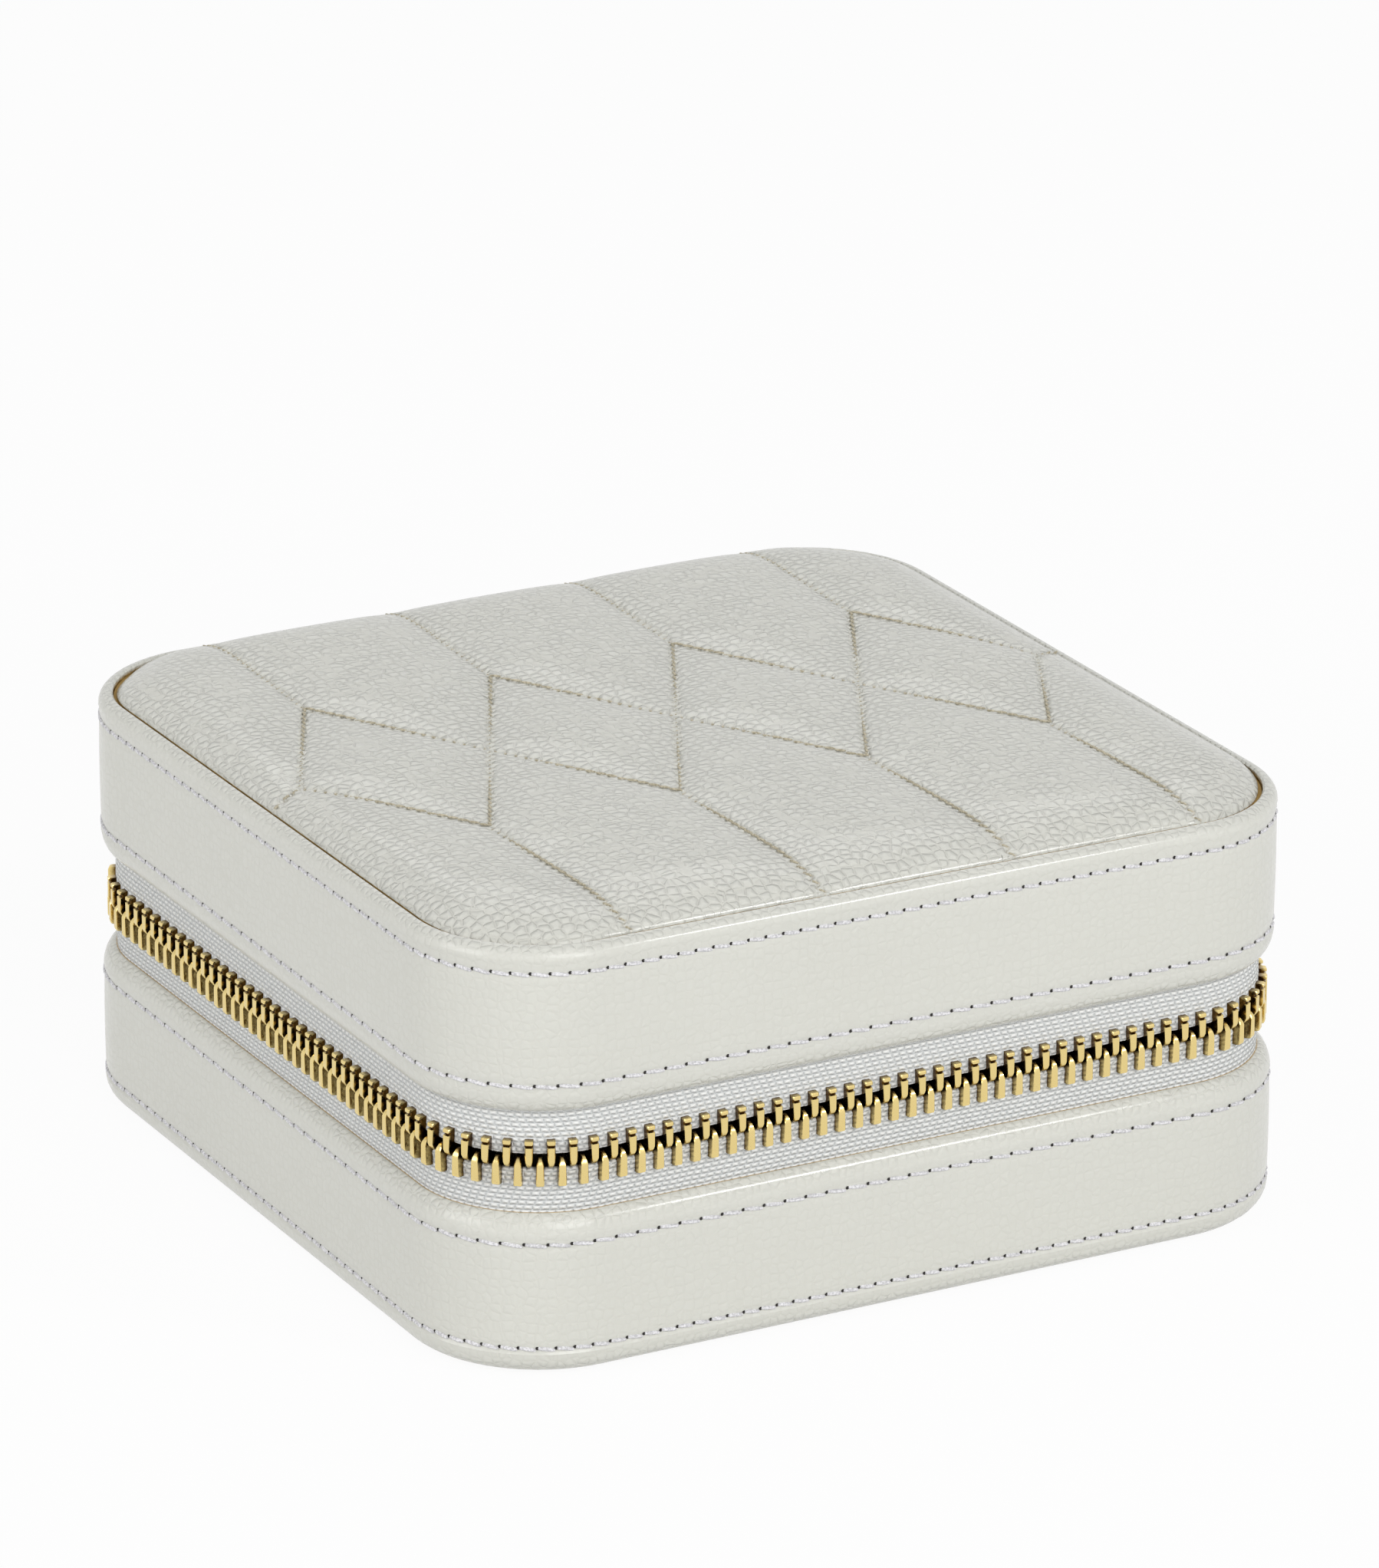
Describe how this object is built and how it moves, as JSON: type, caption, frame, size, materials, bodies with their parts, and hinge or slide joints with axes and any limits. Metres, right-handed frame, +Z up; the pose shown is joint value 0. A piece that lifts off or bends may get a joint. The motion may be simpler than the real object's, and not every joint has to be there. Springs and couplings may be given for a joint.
{
  "type": "leather jewellery case",
  "caption": "Square leather jewellery case with a quilted padded lid, a metal zip round three sides, a folding leather spine, ring rolls, divided compartments and a lid mirror.",
  "frame": {"origin": "centre of the face that the case rests on, in the middle of the square footprint", "axes": "+Z up, -Y towards the front, where the zip runs; the hinge is at +Y and the zip slider is on the +X side"},
  "size_m": [0.1446, 0.14, 0.0669],
  "materials": {
    "leather": "pebble-grained ivory leather, semi-gloss",
    "board": "grey-brown board, matt",
    "thread": "white polyester sewing thread",
    "zip_tape": "white herringbone-woven zip tape",
    "brass": "antique brass",
    "velvet": "cream velvet over board or foam",
    "foam": "foam sheet",
    "mirror": "silvered glass"
  },
  "bodies": {
    "base": {"base_bottom_leather": "leather", "base_floor_board": "board", "base_wall_board": "board", "base_side_leather": "leather", "base_lower_seam": "thread", "base_upper_seam": "thread", "base_lining": "velvet", "divider_long": "velvet", "divider_left": "velvet", "divider_right": "velvet", "ring_roll_1": "velvet", "ring_roll_2": "velvet", "ring_roll_3": "velvet", "ring_roll_4": "velvet", "ring_roll_5": "velvet", "base_zip_tape": "zip_tape", "base_zip_teeth": "brass", "base_slider_teeth": "brass", "base_hinge_tab": "leather"},
    "spine": {"spine_leather": "leather", "spine_lining": "velvet"},
    "lid": {"lid_side_leather": "leather", "lid_wall_board": "board", "lid_top_board": "board", "lid_foam": "foam", "lid_lower_seam": "thread", "lid_upper_seam": "thread", "lid_lining": "velvet", "lid_zip_tape": "zip_tape", "lid_zip_teeth": "brass", "lid_slider_teeth": "brass", "lid_hinge_tab": "leather", "quilted_panel": "leather", "quilting_thread": "thread", "mirror_frame": "velvet", "mirror_glass": "mirror"},
    "slider": {"zip_slider": "brass", "slider_bail": "brass"},
    "pull": {"pull_tab": "brass"}
  },
  "joints": [
    {"name": "base_crease", "type": "hinge", "parent": "base", "child": "spine", "pos_m": [0, 0.0671, 0.0254], "axis": [-1, 0, 0], "range_deg": [0, 86]},
    {"name": "lid_crease", "type": "hinge", "parent": "spine", "child": "lid", "pos_m": [0, 0.0671, 0.0391], "axis": [-1, 0, 0], "range_deg": [0, 86]},
    {"name": "slider_travel", "type": "slide", "parent": "base", "child": "slider", "axis": [0, -1, 0], "range_m": [0, 0.082], "deforming": ["base_slider_teeth", "lid_slider_teeth"]},
    {"name": "pull_swing", "type": "hinge", "parent": "slider", "child": "pull", "pos_m": [0.0727, 0.0419, 0.03225], "axis": [0, 0, 1], "range_deg": [0, 170]}
  ],
  "couplings": [
    {"joint": "lid_crease", "follows": "base_crease", "ratio": 1}
  ]
}
